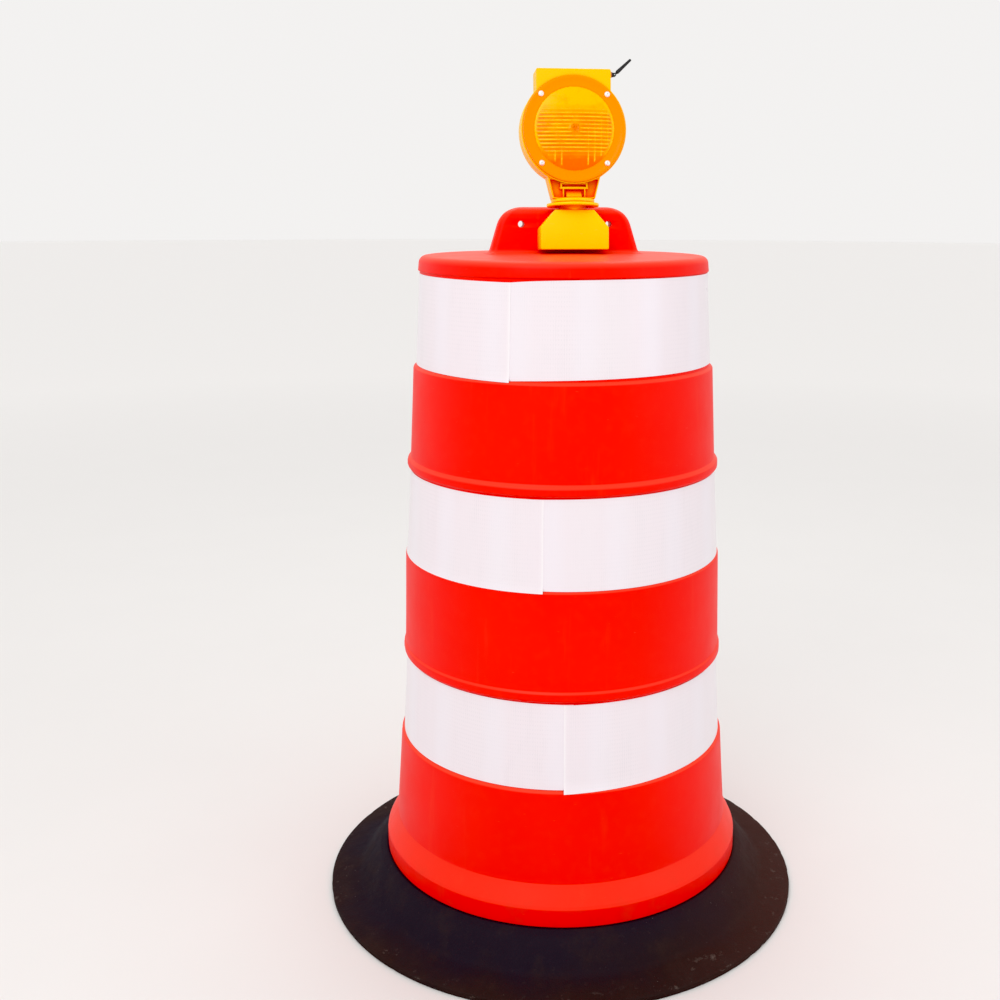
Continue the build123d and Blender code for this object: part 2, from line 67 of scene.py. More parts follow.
def add_camera():
    """Camera in front of the drum and a little to the left, looking down on it."""
    data = bpy.data.cameras.new("camera")
    data.lens = FOCAL_LENGTH
    data.sensor_width = SENSOR_WIDTH
    data.shift_x = SHIFT_X
    data.shift_y = SHIFT_Y
    data.clip_end = CLIP_END
    camera = bpy.data.objects.new("camera", data)
    azimuth = radians(CAMERA_AZIMUTH)
    place = Vector((sin(azimuth), -cos(azimuth), 0)) * CAMERA_DISTANCE * MM
    place.z = CAMERA_HEIGHT * MM
    turn = Matrix.Rotation(azimuth + radians(CAMERA_TURN), 4, "Z")
    tilt = Matrix.Rotation(radians(90 - CAMERA_PITCH), 4, "X")
    roll = Matrix.Rotation(radians(CAMERA_ROLL), 4, "Z")
    camera.matrix_world = Matrix.Translation(place) @ turn @ tilt @ roll
    bpy.context.scene.collection.objects.link(camera)
    bpy.context.scene.camera = camera


def add_area_light(name, place, target, size, power, colour=(1, 1, 1)):
    """Large soft light aimed at a point, in metres."""
    data = bpy.data.lights.new(name, "AREA")
    data.shape = "DISK"
    data.size = size
    data.energy = power
    data.color = colour
    light = bpy.data.objects.new(name, data)
    light.location = place
    aim = Vector(target) - Vector(place)
    light.rotation_euler = aim.to_track_quat("-Z", "Y").to_euler()
    bpy.context.scene.collection.objects.link(light)


def add_world(strength):
    """Even white surroundings."""
    world = bpy.data.worlds.new("studio")
    world.use_nodes = True
    background = world.node_tree.nodes["Background"]
    background.inputs["Color"].default_value = (1.0, 0.985, 0.975, 1)
    background.inputs["Strength"].default_value = strength
    bpy.context.scene.world = world


# ---------------------------------------- material kit
class Shader:
    """A Principled material with short calls for the nodes that feed it."""

    def __init__(self, name, colour, roughness, **settings):
        self.material = bpy.data.materials.new(name)
        self.material.use_nodes = True
        self.tree = self.material.node_tree
        self.main = self.tree.nodes["Principled BSDF"]
        self.main.inputs["Base Color"].default_value = (*colour, 1)
        self.main.inputs["Roughness"].default_value = roughness
        for socket, value in settings.items():
            self.main.inputs[socket.replace("_", " ")].default_value = value
        coordinates = self.tree.nodes.new("ShaderNodeTexCoord")
        self.place = coordinates.outputs["Object"]
        self.facing = coordinates.outputs["Normal"]
        self.height = None

    def node(self, kind, **inputs):
        """New node with its inputs set to values or linked to sockets."""
        made = self.tree.nodes.new(kind)
        for socket, value in inputs.items():
            self.feed(made.inputs[socket.replace("_", " ")], value)
        return made

    def feed(self, socket, value):
        """Set or link one input."""
        if isinstance(value, bpy.types.NodeSocket):
            self.tree.links.new(value, socket)
        else:
            socket.default_value = value

    def stretched(self, x, y, z):
        """Object coordinates scaled along each axis."""
        mapping = self.node("ShaderNodeMapping", Vector=self.place, Scale=(x, y, z))
        return mapping.outputs["Vector"]

    def noise(self, scale, detail=4, rough=0.55, place=None):
        """Noise value between 0 and 1."""
        made = self.node(
            "ShaderNodeTexNoise",
            Vector=place or self.place,
            Scale=scale,
            Detail=detail,
            Roughness=rough,
        )
        return made.outputs["Fac"]

    def cells(self, scale):
        """Distance to the nearest scattered point."""
        made = self.node("ShaderNodeTexVoronoi", Vector=self.place, Scale=scale)
        return made.outputs["Distance"]

    def ramp(self, value, *stops):
        """Value through a ramp of (position, grey level) stops."""
        made = self.node("ShaderNodeValToRGB", Fac=value)
        line = made.color_ramp
        while len(line.elements) < len(stops):
            line.elements.new(0.5)
        for element, (position, level) in zip(line.elements, stops):
            element.position = position
            element.color = (level, level, level, 1)
        return made.outputs["Color"]

    def maths(self, operation, first, second=0.0):
        """Two values through a maths node."""
        made = self.tree.nodes.new("ShaderNodeMath")
        made.operation = operation
        self.feed(made.inputs[0], first)
        self.feed(made.inputs[1], second)
        return made.outputs[0]

    def times(self, first, second):
        """Product of two values."""
        return self.maths("MULTIPLY", first, second)

    def part(self, vector, axis):
        """A vector's part along one axis."""
        return self.node("ShaderNodeSeparateXYZ", Vector=vector).outputs[axis]

    def upward(self):
        """How far a face looks up, from -1 to 1."""
        return self.part(self.facing, "Z")

    def attribute(self, name):
        """Value stored on the mesh's points."""
        made = self.tree.nodes.new("ShaderNodeAttribute")
        made.attribute_name = name
        return made.outputs["Fac"]

    def tint(self, factor, colour):
        """Mix a colour over the base colour by a factor."""
        socket = self.main.inputs["Base Color"]
        mix = self.tree.nodes.new("ShaderNodeMix")
        mix.data_type = "RGBA"
        self.feed(mix.inputs["Factor"], factor)
        under = mix.inputs[6]
        if socket.is_linked:
            self.tree.links.new(socket.links[0].from_socket, under)
        else:
            under.default_value = socket.default_value
        mix.inputs[7].default_value = (*colour, 1)
        self.tree.links.new(mix.outputs[2], socket)

    def wash(self, value, start, end, colour):
        """Mix a colour in as a value runs from one ramp stop to another."""
        self.tint(self.ramp(value, start, end), colour)

    def shade(self, reach, factor, colour):
        """Mix a colour into corners and hollows as painted shade, where ambient occlusion is low."""
        hollow = self.node("ShaderNodeAmbientOcclusion", Distance=reach)
        hollow.samples = 8
        self.tint(self.ramp(hollow.outputs["AO"], (0.42, factor), (0.80, 0)), colour)

    def scratch(self, colour):
        """Short scratches in a colour."""
        scratches = self.noise(260, 2, 0.5, self.stretched(0.3, 1, 2.5))
        self.wash(scratches, (0.72, 0), (0.8, 0.3), colour)

    def rough_between(self, value, low, high):
        """Roughness that runs from low to high with a value."""
        made = self.node("ShaderNodeMapRange", Value=value, To_Min=low, To_Max=high)
        self.feed(self.main.inputs["Roughness"], made.outputs["Result"])

    def bump(self, value, strength, distance):
        """Stack a bump map on the normal."""
        made = self.node("ShaderNodeBump", Height=value, Strength=strength, Distance=distance)
        if self.height is not None:
            self.tree.links.new(self.height, made.inputs["Normal"])
        self.height = made.outputs["Normal"]
        self.feed(self.main.inputs["Normal"], self.height)


def orange_plastic():
    """Satin blow-moulded polyethylene, a little mottled and scuffed, with painted sheen on faces that look up and
    painted shade in hollows.
    """
    s = Shader("orange_plastic", (0.95, 0.0085, 0.0025), 0.48, Specular_IOR_Level=0.19)
    s.wash(s.noise(5, 5), (0.35, 0), (0.75, 0.5), (0.87, 0.004, 0.0015))
    s.wash(s.noise(60, 3), (0.5, 0), (0.8, 0.25), (0.95, 0.022, 0.006))
    streaks = s.noise(34, 4, 0.7, s.stretched(1, 1, 0.08))
    s.wash(streaks, (0.60, 0), (0.78, 0.22), (0.97, 0.06, 0.02))
    # painted sheen: faces that look up are mixed towards a lighter, pinker orange
    s.wash(s.upward(), (0.18, 0), (1.0, 1.0), (0.97, 0.075, 0.035))
    scuffs = s.noise(90, 2, 0.5, s.stretched(0.6, 0.6, 3))
    s.wash(scuffs, (0.74, 0), (0.80, 0.3), (0.98, 0.14, 0.07))
    foot = s.ramp(s.part(s.place, "Z"), (0.08, 0.30), (0.16, 0))
    dust = s.ramp(s.noise(24, 6), (0.5, 0), (0.7, 1))
    s.tint(s.times(foot, dust), (0.60, 0.05, 0.02))
    # painted shade: hollows, such as round the grip's foot, go a deeper red
    s.shade(0.03, 0.4, (0.75, 0.003, 0.001))
    s.rough_between(s.noise(18, 5), 0.36, 0.54)
    s.bump(s.noise(420, 3), 0.10, 0.0006)
    s.bump(s.noise(34, 2), 0.06, 0.003)
    return s.material


def white_sheeting():
    """Prismatic film: a fine lattice of cells under a clear face, with a faint lilac cast."""
    s = Shader(
        "white_sheeting", (0.86, 0.785, 0.835), 0.30, Specular_IOR_Level=0.4, Coat_Weight=0.2
    )
    arc = s.attribute("arc")
    rise = s.attribute("rise")
    pitch = 0.0042
    waves = []
    for lean in (0.577, -0.577, 0.0):
        line = s.maths("ADD", arc, s.times(rise, lean))
        waves.append(s.maths("SINE", s.times(line, 2 * pi / pitch)))
    lattice = s.maths("ADD", s.maths("ADD", waves[0], waves[1]), waves[2])
    patches = s.ramp(s.noise(9, 3, 0.6, s.stretched(1, 1, 0.35)), (0.42, 0.25), (0.62, 1))
    cells = s.ramp(s.times(lattice, 0.33), (0.25, 0), (0.8, 1))
    s.tint(s.times(s.times(cells, patches), 0.30), (0.66, 0.62, 0.68))
    fine = s.maths("SINE", s.times(arc, 2 * pi / 0.0035))
    broken = s.noise(60, 2, 0.5, s.stretched(1, 1, 0.2))
    marks = s.ramp(fine, (0.3, 0), (0.9, 1))
    gaps = s.ramp(broken, (0.5, 0), (0.62, 0.35))
    s.tint(s.times(s.times(marks, gaps), patches), (0.70, 0.66, 0.70))
    bands = s.maths("SINE", s.times(arc, 2 * pi / 0.11))
    s.wash(bands, (0.0, 0), (1.0, 0.45), (0.87, 0.83, 0.90))
    cloud = s.noise(6, 3, 0.5, s.stretched(1, 1, 0.25))
    s.wash(cloud, (0.42, 0), (0.75, 0.5), (0.84, 0.80, 0.83))
    s.wash(s.attribute("edge"), (0.0, 0), (1.0, 0.6), (0.98, 0.96, 0.98))
    s.rough_between(s.noise(24, 4), 0.24, 0.38)
    s.bump(lattice, 0.03, 0.0003)
    return s.material


def black_rubber():
    """Moulded recycled rubber: brown dust outside, blue black near the drum, scuffs and specks."""
    s = Shader("black_rubber", (0.027, 0.0215, 0.029), 0.75, Specular_IOR_Level=0.08)
    flat = s.node("ShaderNodeVectorMath", Vector=s.place)
    flat.operation = "MULTIPLY"
    flat.inputs[1].default_value = (1, 1, 0)
    reach = s.node("ShaderNodeVectorMath", Vector=flat.outputs["Vector"])
    reach.operation = "LENGTH"
    wander = s.times(s.maths("SUBTRACT", s.noise(7, 6), 0.5), 0.16)
    radius = s.maths("ADD", reach.outputs["Value"], wander)
    sideways = s.part(s.place, "X")
    dust = s.maths("ADD", radius, s.times(sideways, 0.06))
    s.wash(dust, (0.355, 0), (0.430, 0.9), (0.037, 0.0235, 0.0215))
    s.wash(sideways, (0.12, 0), (0.40, 0.75), (0.062, 0.0300, 0.0260))
    s.wash(s.noise(14, 7, 0.7), (0.50, 0), (0.72, 0.4), (0.050, 0.034, 0.031))
    s.wash(s.noise(70, 6, 0.75), (0.62, 0), (0.74, 0.35), (0.080, 0.055, 0.048))
    rim = s.ramp(radius, (0.405, 0), (0.445, 1))
    rubs = s.ramp(s.noise(46, 5, 0.75, s.stretched(1, 1, 3)), (0.60, 0), (0.70, 0.6))
    s.tint(s.times(rim, rubs), (0.15, 0.12, 0.105))
    specks = s.times(s.ramp(s.cells(120), (0.05, 1), (0.10, 0)), s.noise(6, 3))
    s.wash(specks, (0.54, 0), (0.66, 0.8), (0.42, 0.36, 0.33))
    crumbs = s.cells(320)
    s.rough_between(s.noise(26, 6, 0.7), 0.58, 0.92)
    s.bump(crumbs, 0.35, 0.0008)
    s.bump(s.noise(46, 6, 0.7), 0.35, 0.003)
    return s.material


def yellow_plastic(name, green):
    """Satin moulded lamp case with light handling marks, in a deeper yellow, or in a paler copy whose extra
    brightness is painted light.
    """
    s = Shader(name, (0.99, green, 0.001), 0.38, Specular_IOR_Level=0.25)
    s.wash(s.noise(22, 4), (0.4, 0), (0.8, 0.5), (0.98, green * 1.04, 0.004))
    s.wash(s.noise(160, 2), (0.62, 0), (0.8, 0.3), (0.90, green * 0.75, 0.001))
    marks = s.noise(140, 2, 0.5, s.stretched(0.4, 0.4, 4))
    s.wash(marks, (0.70, 0), (0.78, 0.3), (1.0, 0.68, 0.12))
    # painted shade: corners and recesses, like the neck recess and the flange's underside, go orange red
    s.shade(0.020, 0.95, (1.0, 0.07, 0.0))
    s.rough_between(s.noise(60, 4), 0.26, 0.44)
    s.bump(s.noise(900, 2), 0.08, 0.0003)
    s.bump(s.noise(70, 2), 0.05, 0.001)
    return s.material


def amber_lens():
    """Clear amber acrylic: plain ring, brighter ribbed dome that deepens towards its foot in painted shade, with
    painted highlights on its ridges and painted shade in its grooves.
    """
    s = Shader("amber_lens_plastic", (1.0, 0.30, 0.0), 0.24, IOR=1.49, Specular_IOR_Level=0.22)
    dome = s.attribute("dome")
    s.wash(dome, (0.3, 0), (0.7, 1), (1.0, 0.53, 0.0))
    # painted shade: the dome's lower part goes deeper orange, where less light comes through from above
    patches = s.times(s.maths("SUBTRACT", s.noise(38, 4), 0.5), 0.40)
    low = s.ramp(s.maths("ADD", s.attribute("drop"), patches), (0.50, 0), (0.74, 0.95))
    s.tint(s.times(dome, low), (1.0, 0.14, 0.0))
    clouds = s.ramp(s.noise(75, 4), (0.5, 0), (0.75, 0.45))
    s.tint(s.times(dome, clouds), (1.0, 0.30, 0.0))
    band = s.times(s.attribute("band"), s.ramp(s.noise(24, 3), (0.42, 1), (0.68, 0.5)))
    s.tint(band, (1.0, 0.27, 0.0))
    streaky = s.ramp(s.noise(60, 3, 0.6, s.stretched(1, 1, 3)), (0.36, 0.45), (0.58, 1))
    # painted highlights: bright yellow lines along the tops of the ridges and ribs
    ridges = s.times(s.ramp(s.attribute("ridge"), (0.30, 0), (0.9, 1.0)), streaky)
    s.tint(ridges, (1.0, 0.72, 0.02))
    # painted shade: dark brown lines in the grooves between the ridges
    grooves = s.times(s.ramp(s.attribute("groove"), (0.35, 0), (0.95, 0.75)), streaky)
    s.tint(grooves, (0.58, 0.12, 0.0))
    eye = s.attribute("eye")
    s.wash(eye, (0.2, 0), (0.8, 0.75), (0.92, 0.17, 0.0))
    pits = s.ramp(s.noise(430, 2), (0.54, 0), (0.62, 0.8))
    s.tint(s.times(eye, pits), (0.35, 0.05, 0.0))
    s.scratch((1.0, 0.55, 0.10))
    s.rough_between(s.noise(90, 3), 0.20, 0.34)
    s.bump(s.noise(300, 2), 0.04, 0.0003)
    return s.material


def resin(name, colour, deep):
    """Clear amber resin with a cloudy core."""
    s = Shader(name, colour, 0.14, IOR=1.49, Transmission_Weight=0.4, Coat_Weight=0.6)
    s.wash(s.noise(245, 3), (0.4, 0), (0.8, 0.6), deep)
    s.scratch((1.0, 0.62, 0.15))
    s.rough_between(s.noise(90, 3), 0.08, 0.22)
    s.bump(s.noise(300, 2), 0.04, 0.0003)
    return s.material


def metal(name, colour, roughness, grain, keep=0.6):
    """Plated metal with a brushed grain and dull spots, which keep a share of its brightness."""
    s = Shader(name, colour, roughness, Metallic=1.0)
    lines = s.noise(grain, 3, 0.6, s.stretched(1, 0.15, 1))
    s.wash(lines, (0.4, 0), (0.8, 0.4), tuple(sqrt(keep) * c for c in colour))
    s.wash(s.noise(300, 4), (0.62, 0), (0.75, 0.5), tuple(keep * c for c in colour))
    s.rough_between(lines, roughness * 0.7, roughness * 1.4)
    s.bump(lines, 0.08, 0.0002)
    return s.material


def moulded(name, colour, roughness, lighter):
    """Plain moulded plastic or soft rubber, with a grain and pale rubbed patches."""
    s = Shader(name, colour, roughness)
    s.wash(s.noise(120, 4), (0.52, 0), (0.78, 0.6), lighter)
    s.wash(s.noise(700, 2), (0.60, 0), (0.80, 0.4), lighter)
    s.rough_between(s.noise(150, 4), roughness * 0.8, min(1.0, roughness * 1.25))
    s.bump(s.noise(1200, 2), 0.15, 0.0002)
    return s.material


def circuit_board():
    """Green solder mask with copper tracks below it."""
    s = Shader("circuit_board", (0.01, 0.11, 0.04), 0.3, Coat_Weight=0.4)
    tracks = s.node("ShaderNodeTexBrick", Vector=s.place, Scale=90.0, Mortar_Size=0.03)
    s.wash(tracks.outputs["Fac"], (0.4, 0), (0.6, 0.7), (0.05, 0.24, 0.08))
    s.wash(s.cells(500), (0.12, 1), (0.2, 0), (0.6, 0.45, 0.2))
    s.bump(tracks.outputs["Fac"], 0.2, 0.0002)
    return s.material


def solar_cells():
    """Dark blue silicon with fine silver fingers."""
    s = Shader("solar_cells", (0.006, 0.010, 0.045), 0.18, Coat_Weight=0.8, Coat_Roughness=0.05)
    fingers = s.node(
        "ShaderNodeTexBrick",
        Vector=s.place,
        Scale=40.0,
        Mortar_Size=0.018,
        Brick_Width=1.0,
        Row_Height=0.08,
    )
    s.wash(fingers.outputs["Fac"], (0.4, 0), (0.6, 0.9), (0.42, 0.43, 0.46))
    s.wash(s.cells(160), (0.2, 0), (0.6, 0.5), (0.012, 0.020, 0.085))
    s.rough_between(s.noise(200, 2), 0.14, 0.24)
    return s.material


def clear_cover():
    """Clear window with a little haze."""
    s = Shader("clear_cover", (0.95, 0.97, 0.98), 0.06, Transmission_Weight=1.0, IOR=1.49)
    s.wash(s.noise(120, 4), (0.5, 0), (0.8, 0.4), (0.80, 0.82, 0.82))
    s.rough_between(s.noise(90, 4), 0.04, 0.16)
    return s.material


def floor_finish():
    """Pale, plain studio floor."""
    s = Shader("floor_finish", (0.80, 0.79, 0.78), 0.75)
    s.wash(s.noise(3, 3), (0.4, 0), (0.8, 0.3), (0.77, 0.76, 0.75))
    reach = s.node("ShaderNodeVectorMath", Vector=s.place)
    reach.operation = "LENGTH"
    far = s.times(reach.outputs["Value"], 0.1)
    s.wash(far, (0.15, 0), (0.7, 1), (0.96, 0.95, 0.94))
    return s.material


# ---------------------------------------- mesh kit
def rounded(corners, steps=6, closed=True):
    """Points of an outline whose corners are x, y and rounding radius."""
    points = []
    count = len(corners)
    for index, (x, y, radius) in enumerate(corners):
        corner = Vector((x, y))
        ends = not closed and index in (0, count - 1)
        if radius <= 0 or ends:
            points.append((x, y))
            continue
        before = (Vector(corners[index - 1][:2]) - corner).normalized()
        after = (Vector(corners[(index + 1) % count][:2]) - corner).normalized()
        half = before.angle(after) / 2
        reach = radius / tan(half)
        centre = corner + (before + after).normalized() * (radius / sin(half))
        start = corner + before * reach - centre
        sweep = pi - 2 * half
        end = corner + after * reach - centre
        turn = 1 if start.cross(end) > 0 else -1
        for step in range(steps + 1):
            angle = turn * sweep * step / steps
            points.append((
                centre.x + start.x * cos(angle) - start.y * sin(angle),
                centre.y + start.x * sin(angle) + start.y * cos(angle),
            ))
    return points


def circle(radius, centre=(0.0, 0.0), count=96):
    """Points round a circle."""
    return [
        (centre[0] + radius * cos(2 * pi * i / count), centre[1] + radius * sin(2 * pi * i / count))
        for i in range(count)
    ]


def rectangle(left, right, low, high):
    """Corners of a rectangle."""
    return [(left, low), (right, low), (right, high), (left, high)]


def tube_faces(levels, count):
    """Faces between rings of count points each, with a cap at both ends."""
    faces = []
    for level in range(levels - 1):
        low, high = level * count, (level + 1) * count
        for i in range(count):
            j = (i + 1) % count
            faces.append((low + i, low + j, high + j, high + i))
    faces.append(tuple(range(count)))
    faces.append(tuple(range((levels - 1) * count, levels * count)))
    return faces


def make(name, verts, faces, matrix=Matrix.Identity(4)):
    """Mesh object from millimetre points, placed by a matrix in metres."""
    mesh = bpy.data.meshes.new(name)
    mesh.from_pydata([Vector(v) * MM for v in verts], [], faces)
    mesh.transform(matrix)
    made = bpy.data.objects.new(name, mesh)
    bpy.context.scene.collection.objects.link(made)
    tidy_normals(made)
    return made


def tidy_normals(made):
    """Point every face outward."""
    bm = bmesh.new()
    bm.from_mesh(made.data)
    bmesh.ops.recalc_face_normals(bm, faces=bm.faces)
    bm.to_mesh(made.data)
    bm.free()


def prism(outline, low, high, along="z", matrix=Matrix.Identity(4)):
    """Closed prism of an outline, between two stations along an axis."""
    order = {"z": (0, 1, 2), "y": (0, 2, 1), "x": (2, 0, 1)}[along]
    verts = []
    for station in (low, high):
        for u, v in outline:
            point = (u, v, station)
            verts.append(tuple(point[i] for i in order))
    count = len(outline)
    faces = [tuple(range(count)), tuple(range(2 * count - 1, count - 1, -1))]
    for i in range(count):
        j = (i + 1) % count
        faces.append((i, j, count + j, count + i))
    return make("prism", verts, faces, matrix)


def lathe(profile, name, segments=256, matrix=Matrix.Identity(4), wobble=None, closed=False):
    """Surface turned about the upright axis; ends on the axis become single points."""
    verts, rings = [], []
    for radius, height in profile:
        if radius < 1e-6:
            rings.append([len(verts)])
            verts.append((0, 0, height))
            continue
        rings.append(range(len(verts), len(verts) + segments))
        for i in range(segments):
            angle = 2 * pi * i / segments
            r = radius + (wobble(angle, radius, height) if wobble else 0)
            verts.append((r * sin(angle), -r * cos(angle), height))
    faces = []
    pairs = list(zip(rings, rings[1:]))
    if closed:
        pairs.append((rings[-1], rings[0]))
    for a, b in pairs:
        for i in range(segments):
            j = (i + 1) % segments
            if len(a) == 1:
                faces.append((a[0], b[i], b[j]))
            elif len(b) == 1:
                faces.append((a[i], a[j], b[0]))
            else:
                faces.append((a[i], a[j], b[j], b[i]))
    return make(name, verts, faces, matrix)


def settle(made):
    """Turn an object's modifiers into its mesh."""
    graph = bpy.context.evaluated_depsgraph_get()
    mesh = bpy.data.meshes.new_from_object(made.evaluated_get(graph))
    made.modifiers.clear()
    old = made.data
    made.data = mesh
    bpy.data.meshes.remove(old)


def combine(made, tools, operation="DIFFERENCE"):
    """Boolean with one or more tool objects, which are used up."""
    for tool in tools:
        modifier = made.modifiers.new("boolean", "BOOLEAN")
        modifier.operation = operation
        modifier.solver = "EXACT"
        modifier.object = tool
        settle(made)
        bpy.data.objects.remove(tool)
    return made


def soften(made, width, segments=2, angle=40):
    """Round the sharp edges of an object."""
    modifier = made.modifiers.new("bevel", "BEVEL")
    modifier.width = width * MM
    modifier.segments = segments
    modifier.limit_method = "ANGLE"
    modifier.angle_limit = radians(angle)
    modifier.harden_normals = False
    settle(made)
    return made


def join(made, others):
    """Put other objects' meshes into one object."""
    bm = bmesh.new()
    for item in (made, *others):
        bm.from_mesh(item.data)
    bm.to_mesh(made.data)
    bm.free()
    for item in others:
        bpy.data.objects.remove(item)
    return made


def finish_piece(made, name, body, material, replaced=(), sharp=32):
    """Name a piece, shade it, give it its material and hang it on its body."""
    made.name = name
    made.data.name = name
    made.data.materials.clear()
    made.data.materials.append(material)
    made.data.shade_smooth()
    made.data.set_sharp_from_angle(angle=radians(sharp))
    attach(made, body)
    if replaced:
        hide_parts(*replaced)
    return made


def store_values(made, name, values):
    """Store a value for each point of a mesh."""
    layer = made.data.attributes.new(name, "FLOAT", "POINT")
    layer.data.foreach_set("value", values)


# ---------------------------------------- places from the frame
swivel = next(j for j in frame["joints"] if j["name"] == "lamp_swivel")
SWIVEL_HEIGHT = 40.0
lamp_up = Vector(swivel["axis"]).normalized()
lamp_right = Vector((1, 0, 0))
lamp_back = lamp_up.cross(lamp_right)
lamp_origin = Vector(swivel["pos_m"]) - lamp_up * SWIVEL_HEIGHT * MM
lamp_axes = Matrix((lamp_right, lamp_back, lamp_up)).transposed()
LAMP = Matrix.Translation(lamp_origin) @ lamp_axes.to_4x4()
FLIP = Matrix.Scale(-1, 4, Vector((0, 1, 0)))

base_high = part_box("rubber_base")[1]
BASE_RADIUS = base_high.x / MM
HUB_HEIGHT = base_high.z / MM
SKIRT_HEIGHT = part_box("drum_body")[0].z / MM
SKIRT_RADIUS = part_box("drum_body")[1].x / MM
GRIP_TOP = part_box("drum_body")[1].z / MM


# ---------------------------------------- rubber base
BASE_SEGMENTS = 384
BASE_BORE = 288
SHELF_HEIGHT = 79.6
SHELF_LIMIT = 80.5
GROOVE_RADIUS = 304
SLOPE_START = 340
WORN_START = 436
WORN_WIDTH = 9
LONGEST_SPAN = 9
RIB_COUNT = 12
RIB_HALF_WIDTH = 8


def make_rubber_base(material):
    """Ballast ring: sloped skirt, shelf and hub above, a ribbed groove below."""
    top = rounded(
        [
            (BASE_BORE, 2, 0),
            (BASE_BORE, 116, 5),
            (295, HUB_HEIGHT, 5),
            (312, HUB_HEIGHT, 6),
            (329, 106, 5),
            (329, SHELF_HEIGHT, 1),
            (338, SHELF_HEIGHT, 5),
            (350, 71, 16),
            (387, 24, 26),
            (BASE_RADIUS, 10.5, 3),
            (BASE_RADIUS, 0, 1.5),
            (374, 0, 1),
            (376, 12, 4),
            (336, 62, 6),
            (324, 62, 4),
            (314, 110, 3),
            (GROOVE_RADIUS, 110, 3),
            (GROOVE_RADIUS, 0, 1),
            (BASE_BORE, 0, 1),
        ],
        steps=5,
    )
    profile = []
    for index, (radius, height) in enumerate(top):
        profile.append((radius, height))
        nxt = top[(index + 1) % len(top)]
        gap = sqrt((nxt[0] - radius) ** 2 + (nxt[1] - height) ** 2)
        extra = int(gap // LONGEST_SPAN)
        for step in range(1, extra + 1):
            share = step / (extra + 1)
            profile.append((radius + (nxt[0] - radius) * share, height + (nxt[1] - height) * share))

    def worn(angle, radius, height):
        rim = max(0.0, (radius - WORN_START) / WORN_WIDTH)
        chips = noise.noise(Vector((cos(angle) * 22, sin(angle) * 22, height / 9)))
        return -0.9 * rim * max(0.0, chips - 0.15) * 3

    ring = lathe(profile, "rubber_base_ring", BASE_SEGMENTS, wobble=worn, closed=True)
    for vertex in ring.data.vertices:
        place = vertex.co
        reach = sqrt(place.x ** 2 + place.y ** 2) / MM
        if place.z > 6 * MM and reach > SLOPE_START:
            swell = noise.noise(Vector((place.x * 6, place.y * 6, 0.3))) * 1.1
            grain = noise.noise(Vector((place.x * 45, place.y * 45, 4.1))) * 0.35
            place.z += (swell + grain) * MM * min(1.0, (reach - SLOPE_START) / 20)
            place.z = min(place.z, SHELF_LIMIT * MM)
    side = rounded(
        [
            (302, 0.2, 1),
            (378, 0.2, 1),
            (378, 13, 4),
            (337, 65, 6),
            (313, 112, 3),
            (302, 112, 2),
        ],
        2,
    )
    ribs = []
    for index in range(RIB_COUNT):
        turn = Matrix.Rotation(2 * pi * index / RIB_COUNT, 4, "Z")
        ribs.append(prism(side, -RIB_HALF_WIDTH, RIB_HALF_WIDTH, "y", turn))
    join(ring, ribs)
    return finish_piece(ring, "rubber_base_moulding", "base", material, ["rubber_base"])


# ---------------------------------------- drum
CAP_RADIUS = 249.8
CAP_ROUNDING = 12.0
CROWN_HEIGHT = 1187.0
CAP_EDGE_HEIGHT = 1180.5
WALL = 2.8
CROWN_LIMIT = 200
DRUM_SEGMENTS = 360
WRAP_HEIGHT = 152.4
WRAP_GROWTH = WRAP_HEIGHT * 0.0625
WRAP_MARGIN = 0.5
WRAP_LAP = 16.0
WRAP_COLUMNS = 420
WRAP_ROWS = 16
WRAP_FACES = (0.42, 0.92)
# top edge, the drum's radius there, bare strip left below the wrap, seam angle from the front,
# which way it was wound, how far its top and bottom sag at the under end and at the over end,
# and the angles over which those sags fade
Wrap = namedtuple("Wrap", "top radius bare seam way under over start_fade end_fade")
WRAPS = {
    "upper": Wrap(1154.5, 247.4, 5.5, -27.1, 1, (5.0, 5.5), (5.3, 8.0), (12, 25), (80, 110)),
    "middle": Wrap(813.7, 271.6, 0.5, -14.2, 1, (1.4, -0.3), (1.6, 4.0), (12, 12), (150, 180)),
    "lower": Wrap(469.1, 286.7, 0.5, -7.0, -1, (1.4, 0.0), (2.2, 5.4), (12, 12), (24, 24)),
}


def drum_corners(inset):
    """Half section of the drum's side, drawn in by an inset."""
    bands = (
        [(CAP_RADIUS + 0.5, 1156.2, 1.2)],
        [(262.4, 992.0, 3), (271, 835, 3), (277, 829, 5), (277.2, 818, 5)],
        [(284.4, 657.5, 3), (289.7, 490, 3), (292.6, 486, 4), (292.8, 474, 5)],
    )
    corners = [(CAP_RADIUS - 2.0, CAP_EDGE_HEIGHT, CAP_ROUNDING)]
    for band, wrap in zip(bands, WRAPS.values()):
        foot = wrap.top - WRAP_HEIGHT - wrap.bare
        corners += [*band, (wrap.radius, wrap.top, 1), (wrap.radius + WRAP_GROWTH, foot, 1)]
    corners += [
        (301.4, 312, 4),
        (313.6, 149.5, 1.5),
        (331.0, 117.5, 3),
        (SKIRT_RADIUS - 0.3, 112, 3),
        (SKIRT_RADIUS, SKIRT_HEIGHT, 1.2),
    ]
    return [(radius - inset, height, rounding) for radius, height, rounding in corners]


def filled(points, longest):
    """Points of a line with long stretches divided."""
    full = [points[0]]
    for before, after in zip(points, points[1:]):
        gap = sqrt((after[0] - before[0]) ** 2 + (after[1] - before[1]) ** 2)
        count = max(1, ceil(gap / longest))
        for step in range(1, count + 1):
            share = step / count
            full.append((
                before[0] + (after[0] - before[0]) * share,
                before[1] + (after[1] - before[1]) * share,
            ))
    return full


